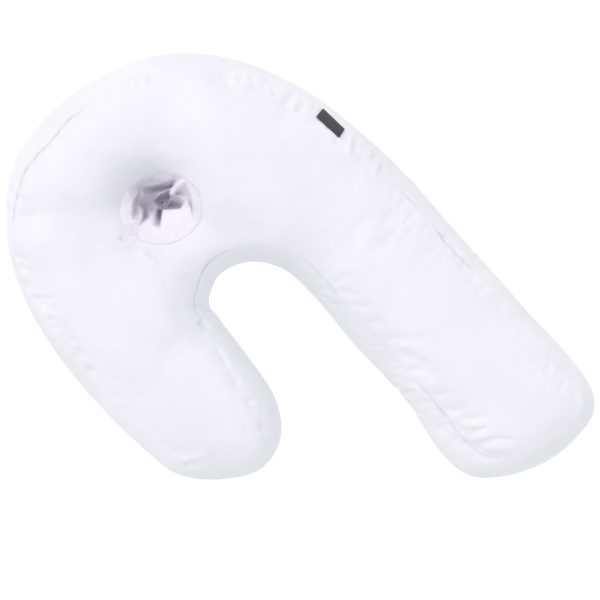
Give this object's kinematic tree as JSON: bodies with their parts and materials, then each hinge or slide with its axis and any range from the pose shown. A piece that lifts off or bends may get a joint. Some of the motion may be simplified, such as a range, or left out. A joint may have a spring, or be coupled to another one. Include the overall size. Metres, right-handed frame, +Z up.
{
  "type": "body pillow",
  "caption": "J-shaped side-sleeper body pillow in white cloth, boxed with a side band, with a lined ear well through its head, lying on its back.",
  "frame": {"origin": "on the surface that the pillow lies on, under the middle of its bounding box", "axes": "+Z up out of the face panel; +X across, from the short leg towards the long leg's end; +Y towards the top of the head"},
  "size_m": [0.7045, 0.5121, 0.1604],
  "materials": {
    "case_cloth": "smooth white cotton and polyester percale, matt with a faint sheen",
    "lining_cloth": "the same white percale, crumpled",
    "label_weave": "dense charcoal satin weave, plain, with folded ends"
  },
  "bodies": {
    "root": {"pillow": "case_cloth", "ear_well_lining": "lining_cloth", "label": "label_weave"}
  },
  "joints": []
}
